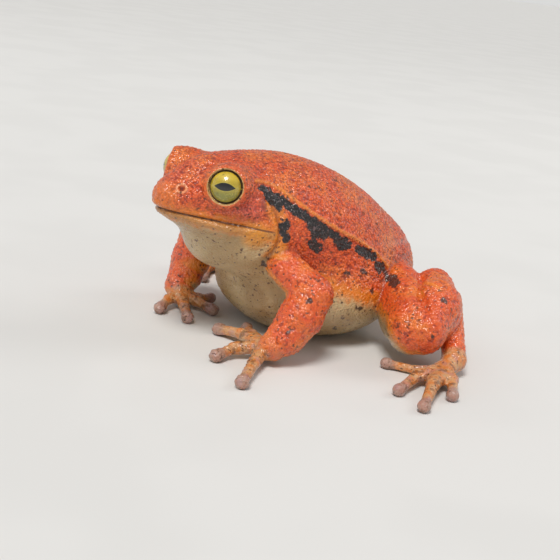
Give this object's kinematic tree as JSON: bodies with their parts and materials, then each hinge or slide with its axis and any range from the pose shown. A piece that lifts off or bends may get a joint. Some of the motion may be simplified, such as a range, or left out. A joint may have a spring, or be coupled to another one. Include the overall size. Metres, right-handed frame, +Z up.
{
  "type": "tomato frog",
  "caption": "Plump orange-red frog sitting with folded hind legs, spread fingers and toes, gold-green eyes and a dark stripe on each flank.",
  "frame": {"origin": "centre of the bounding box on the floor that the frog rests on", "axes": "+Z up, the frog faces -Y, its left side is +X"},
  "size_m": [0.1232, 0.0904, 0.0514],
  "materials": {
    "skin": "moist, fine-grained orange-red skin, cream on throat and belly",
    "limb_skin": "moist, bright orange-red skin",
    "digit_skin": "tan-orange skin with lilac-grey pads",
    "eye": "wet gold-green iris with a level spindle pupil"
  },
  "bodies": {
    "root": {"eye_left": "eye", "eye_right": "eye", "foot_left": "digit_skin", "foot_right": "digit_skin", "forearm_left": "limb_skin", "forearm_right": "limb_skin", "hand_left": "digit_skin", "hand_right": "digit_skin", "head": "skin", "shank_left": "limb_skin", "shank_right": "limb_skin", "thigh_left": "limb_skin", "thigh_right": "limb_skin", "torso": "skin", "upper_arm_left": "limb_skin", "upper_arm_right": "limb_skin"}
  },
  "joints": []
}
